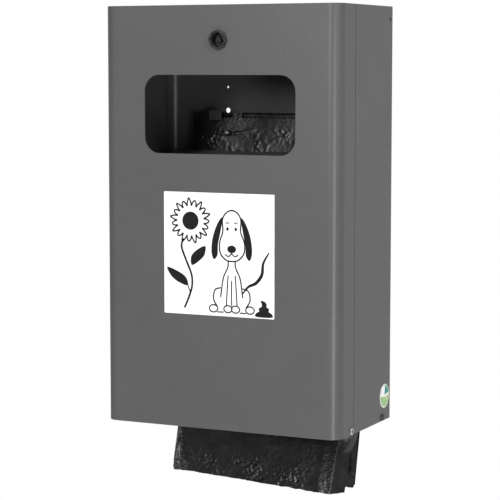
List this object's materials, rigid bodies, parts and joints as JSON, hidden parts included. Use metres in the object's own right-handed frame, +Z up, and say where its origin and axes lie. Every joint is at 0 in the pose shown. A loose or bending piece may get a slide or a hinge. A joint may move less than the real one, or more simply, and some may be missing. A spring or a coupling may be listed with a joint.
{
  "type": "dog waste bag dispenser",
  "caption": "Wall-hung sheet-steel dispenser for dog waste bags, with a windowed door hinged at the bottom, a key lock, and a pack of black bags hanging out below.",
  "frame": {"origin": "middle of the case's flat back face, halfway up the case, where it lies on the wall", "axes": "+Z up, +Y into the wall, -Y out of the door towards the user, +X to the right of someone facing the door"},
  "size_m": [0.249, 0.1413, 0.468],
  "materials": {
    "powder_coat": "fine satin powder coat, anthracite grey",
    "lock_black": "black chromed die-cast zinc",
    "zinc_plate": "zinc-plated steel and plain aluminium rivets",
    "nylon": "black nylon",
    "bag_film": "thin glossy black polyethylene film, creased",
    "header_card": "dull dark grey film welded stiff",
    "white_vinyl": "white label with a black line drawing",
    "green_vinyl": "round green and white sticker"
  },
  "bodies": {
    "case": {"case_shell": "powder_coat", "top_plate": "powder_coat", "lock_strike": "powder_coat", "bag_guide": "powder_coat", "side_lip_left": "powder_coat", "side_lip_right": "powder_coat", "hinge_rivet_left": "zinc_plate", "hinge_rivet_right": "zinc_plate", "hinge_washer_left": "nylon", "hinge_washer_right": "nylon", "guide_rivet_left": "zinc_plate", "guide_rivet_right": "zinc_plate", "hanger_pin_left": "zinc_plate", "hanger_pin_right": "zinc_plate", "round_sticker": "green_vinyl", "bag_stack_back": "bag_film", "bag_stack_front": "bag_film", "header_tab": "header_card"},
    "door": {"door_panel": "powder_coat", "pictogram_label": "white_vinyl", "lock_housing": "lock_black", "lock_washer": "zinc_plate", "lock_nut": "zinc_plate"},
    "lock": {"lock_core": "lock_black", "lock_cam": "zinc_plate", "cam_screw": "zinc_plate"},
    "next_bag": {"loose_bag": "bag_film"}
  },
  "joints": [
    {"name": "door_hinge", "type": "hinge", "parent": "case", "child": "door", "pos_m": [0, -0.1077, -0.1961], "axis": [1, 0, 0], "range_deg": [0, 110]},
    {"name": "lock_turn", "type": "hinge", "parent": "door", "child": "lock", "pos_m": [0, -0.13, 0.1675], "axis": [0, 1, 0], "range_deg": [0, 90]},
    {"name": "next_bag_pull", "type": "slide", "parent": "case", "child": "next_bag", "axis": [0, 0, -1], "range_m": [0, 0.3]}
  ]
}
